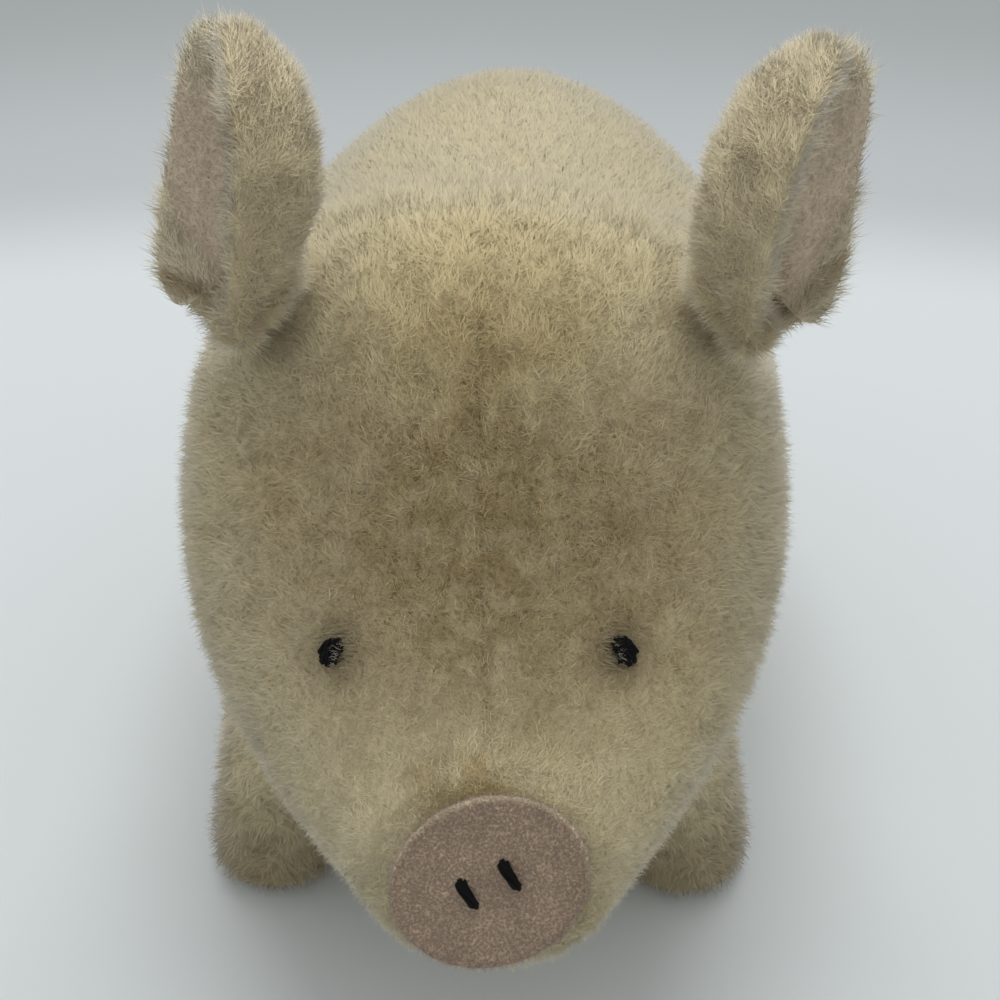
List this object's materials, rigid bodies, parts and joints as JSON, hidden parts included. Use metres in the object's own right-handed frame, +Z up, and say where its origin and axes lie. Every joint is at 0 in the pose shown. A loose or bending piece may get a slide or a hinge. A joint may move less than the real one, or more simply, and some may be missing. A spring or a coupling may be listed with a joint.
{
  "type": "plush pig toy",
  "caption": "Standing plush pig soft toy with sewn-on upright folded ears, a felt snout disc, stitched eyes and nostrils, stuffed legs and a curled tail.",
  "frame": {"origin": "middle of the pig's underside box, on the surface it stands on", "axes": "+X towards the pig's left side, -Y towards its snout, +Z up"},
  "size_m": [0.0906, 0.1842, 0.1333],
  "materials": {
    "cream_plush": "long mohair-like pile, aged and lightly soiled",
    "sole_cloth": "short worn pile",
    "stuffing": "loose soft fill",
    "pink_lining": "short faded pink pile",
    "felt": "matte wool felt, dusty mauve",
    "black_thread": "twisted cotton, slight sheen"
  },
  "bodies": {
    "pig": {"body_left_panel": "cream_plush", "body_right_panel": "cream_plush", "belly_panel": "cream_plush", "body_stuffing": "stuffing", "head_left_panel": "cream_plush", "head_right_panel": "cream_plush", "chin_panel": "cream_plush", "head_stuffing": "stuffing", "front_left_leg_cover": "cream_plush", "front_left_leg_stuffing": "stuffing", "front_left_leg_sole": "sole_cloth", "front_right_leg_cover": "cream_plush", "front_right_leg_stuffing": "stuffing", "front_right_leg_sole": "sole_cloth", "rear_left_leg_cover": "cream_plush", "rear_left_leg_stuffing": "stuffing", "rear_left_leg_sole": "sole_cloth", "rear_right_leg_cover": "cream_plush", "rear_right_leg_stuffing": "stuffing", "rear_right_leg_sole": "sole_cloth", "snout_disc": "felt", "left_nostril": "black_thread", "right_nostril": "black_thread", "left_eye": "black_thread", "right_eye": "black_thread"},
    "left_ear": {"left_ear_back": "cream_plush", "left_ear_lining": "pink_lining"},
    "right_ear": {"right_ear_back": "cream_plush", "right_ear_lining": "pink_lining"},
    "curled_tail": {"tail": "cream_plush"}
  },
  "joints": [
    {"name": "left_ear_hinge", "type": "hinge", "parent": "pig", "child": "left_ear", "pos_m": [0.03005, -0.04272, 0.09836], "axis": [0.6198, -0.278, -0.7339], "range_deg": [-20, 20], "stiffness_Nm_per_rad": 0.02},
    {"name": "right_ear_hinge", "type": "hinge", "parent": "pig", "child": "right_ear", "pos_m": [-0.02872, -0.04577, 0.09877], "axis": [-0.5957, -0.3459, -0.7249], "range_deg": [-20, 20], "stiffness_Nm_per_rad": 0.02},
    {"name": "tail_hinge", "type": "hinge", "parent": "pig", "child": "curled_tail", "pos_m": [-0.00141, 0.07686, 0.06455], "axis": [1, 0, 0], "range_deg": [-25, 25], "stiffness_Nm_per_rad": 0.01}
  ]
}
